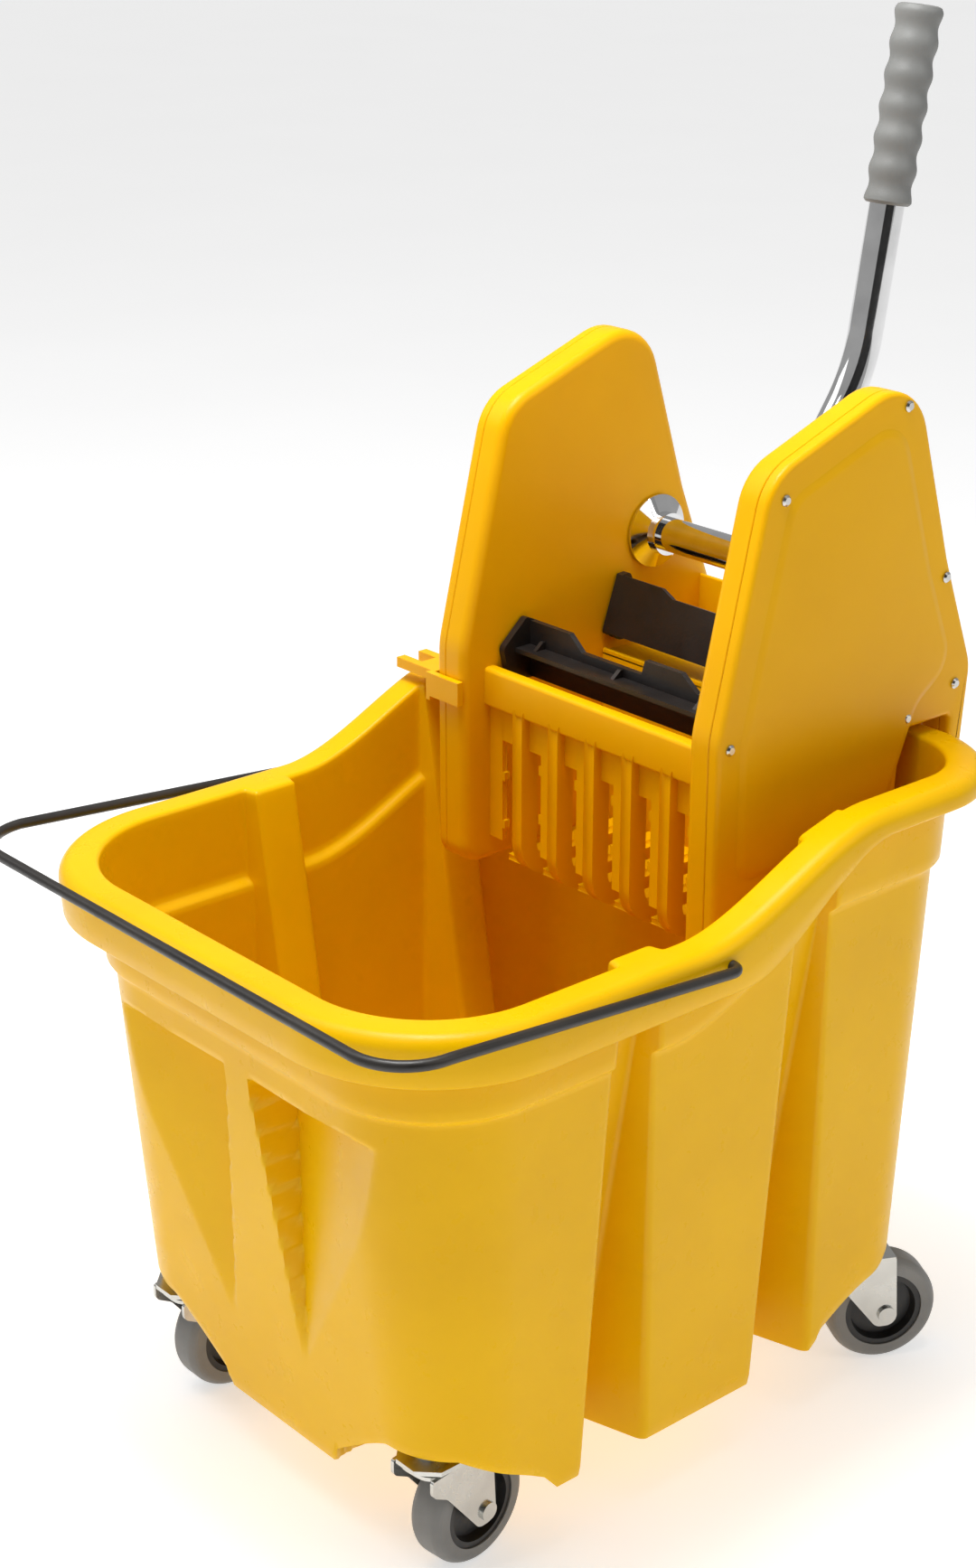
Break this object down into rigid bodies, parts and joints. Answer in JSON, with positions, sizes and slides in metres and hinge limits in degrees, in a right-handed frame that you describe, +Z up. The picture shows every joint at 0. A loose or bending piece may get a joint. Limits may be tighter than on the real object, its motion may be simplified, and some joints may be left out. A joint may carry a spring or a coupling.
{
  "type": "mop bucket with wringer",
  "caption": "Yellow wheeled mop bucket on swivel casters, wire bail, and a lift-off wringer whose lever closes two geared press plates over a grille.",
  "frame": {"origin": "on the floor under the middle of the whole object's box, with the bail lying forward and the lever up", "axes": "+X across the bucket, -Y towards the bail end, +Y towards the wringer and lever, +Z up"},
  "size_m": [0.4214, 0.618, 0.8704],
  "materials": {
    "bucket_plastic": "moulded yellow plastic, glossy with a fine mottle",
    "wringer_plastic": "moulded amber yellow plastic, satin",
    "bail_coating": "dark brown coated wire, satin",
    "grey_tread": "grey non-marking rubber",
    "hub_plastic": "black moulded plastic",
    "zinc_plate": "bright zinc-plated pressed steel",
    "chrome": "polished chrome tube",
    "grip_rubber": "grey ribbed vinyl grip",
    "screw_steel": "stainless pan-head screws",
    "press_plastic": "dark brown-black moulded plastic",
    "gear_plastic": "natural white acetal"
  },
  "bodies": {
    "bucket": {"bucket_shell": "bucket_plastic", "front_left_caster_stem": "zinc_plate", "front_right_caster_stem": "zinc_plate", "rear_left_caster_stem": "zinc_plate", "rear_right_caster_stem": "zinc_plate"},
    "bail": {"bail_handle": "bail_coating"},
    "front_left_swivel": {"front_left_caster_fork": "zinc_plate", "front_left_caster_axle": "zinc_plate"},
    "front_left_wheel": {"front_left_wheel_hub": "hub_plastic", "front_left_tyre": "grey_tread"},
    "front_right_swivel": {"front_right_caster_fork": "zinc_plate", "front_right_caster_axle": "zinc_plate"},
    "front_right_wheel": {"front_right_wheel_hub": "hub_plastic", "front_right_tyre": "grey_tread"},
    "rear_left_swivel": {"rear_left_caster_fork": "zinc_plate", "rear_left_caster_axle": "zinc_plate"},
    "rear_left_wheel": {"rear_left_wheel_hub": "hub_plastic", "rear_left_tyre": "grey_tread"},
    "rear_right_swivel": {"rear_right_caster_fork": "zinc_plate", "rear_right_caster_axle": "zinc_plate"},
    "rear_right_wheel": {"rear_right_wheel_hub": "hub_plastic", "rear_right_tyre": "grey_tread"},
    "wringer": {"wringer_basket": "wringer_plastic", "left_housing_cover": "wringer_plastic", "right_housing_cover": "wringer_plastic", "left_cover_screws": "screw_steel", "right_cover_screws": "screw_steel", "left_rim_hook": "wringer_plastic"},
    "lever": {"drive_shaft": "chrome", "left_shaft_flange": "chrome", "right_shaft_flange": "chrome", "left_lever_gear": "gear_plastic", "right_lever_gear": "gear_plastic", "lever_socket": "chrome", "lever_bolt": "screw_steel", "lever_tube": "chrome", "lever_grip": "grip_rubber"},
    "front_press": {"front_press_plate": "press_plastic", "left_front_gear": "gear_plastic", "right_front_gear": "gear_plastic"},
    "rear_press": {"rear_press_plate": "press_plastic", "left_rear_gear": "gear_plastic", "right_rear_gear": "gear_plastic"}
  },
  "joints": [
    {"name": "front_left_swivel", "type": "hinge", "parent": "bucket", "child": "front_left_swivel", "pos_m": [-0.124, -0.21675, 0.08], "axis": [0, 0, 1], "continuous": true},
    {"name": "front_left_roll", "type": "hinge", "parent": "front_left_swivel", "child": "front_left_wheel", "pos_m": [-0.124, -0.18675, 0.038], "axis": [1, 0, 0], "continuous": true},
    {"name": "front_right_swivel", "type": "hinge", "parent": "bucket", "child": "front_right_swivel", "pos_m": [0.124, -0.21675, 0.08], "axis": [0, 0, 1], "continuous": true},
    {"name": "front_right_roll", "type": "hinge", "parent": "front_right_swivel", "child": "front_right_wheel", "pos_m": [0.12086, -0.18691, 0.038], "axis": [0.9945, 0.1045, 0], "continuous": true},
    {"name": "rear_left_swivel", "type": "hinge", "parent": "bucket", "child": "rear_left_swivel", "pos_m": [-0.124, 0.13825, 0.08], "axis": [0, 0, 1], "continuous": true},
    {"name": "rear_left_roll", "type": "hinge", "parent": "rear_left_swivel", "child": "rear_left_wheel", "pos_m": [-0.124, 0.16825, 0.038], "axis": [1, 0, 0], "continuous": true},
    {"name": "rear_right_swivel", "type": "hinge", "parent": "bucket", "child": "rear_right_swivel", "pos_m": [0.124, 0.13825, 0.08], "axis": [0, 0, 1], "continuous": true},
    {"name": "rear_right_roll", "type": "hinge", "parent": "rear_right_swivel", "child": "rear_right_wheel", "pos_m": [0.13808, 0.16474, 0.038], "axis": [0.8829, -0.4695, 0], "continuous": true},
    {"name": "bail_swing", "type": "hinge", "parent": "bucket", "child": "bail", "pos_m": [0, -0.05575, 0.38056], "axis": [-1, 0, 0], "range_deg": [0, 92]},
    {"name": "wringer_lift", "type": "slide", "parent": "bucket", "child": "wringer", "axis": [0, 0, 1], "range_m": [0, 0.2]},
    {"name": "lever_pull", "type": "hinge", "parent": "wringer", "child": "lever", "pos_m": [0, 0.17225, 0.526], "axis": [-1, 0, 0], "range_deg": [0, 72]},
    {"name": "front_press_swing", "type": "hinge", "parent": "wringer", "child": "front_press", "pos_m": [0, 0.04526, 0.45652], "axis": [-1, 0, 0], "range_deg": [0, 79]},
    {"name": "rear_press_swing", "type": "hinge", "parent": "wringer", "child": "rear_press", "pos_m": [0, 0.13775, 0.46624], "axis": [1, 0, 0], "range_deg": [0, 79]}
  ],
  "couplings": [
    {"joint": "front_press_swing", "follows": "lever_pull", "ratio": 1.0909},
    {"joint": "rear_press_swing", "follows": "lever_pull", "ratio": 1.0909}
  ]
}
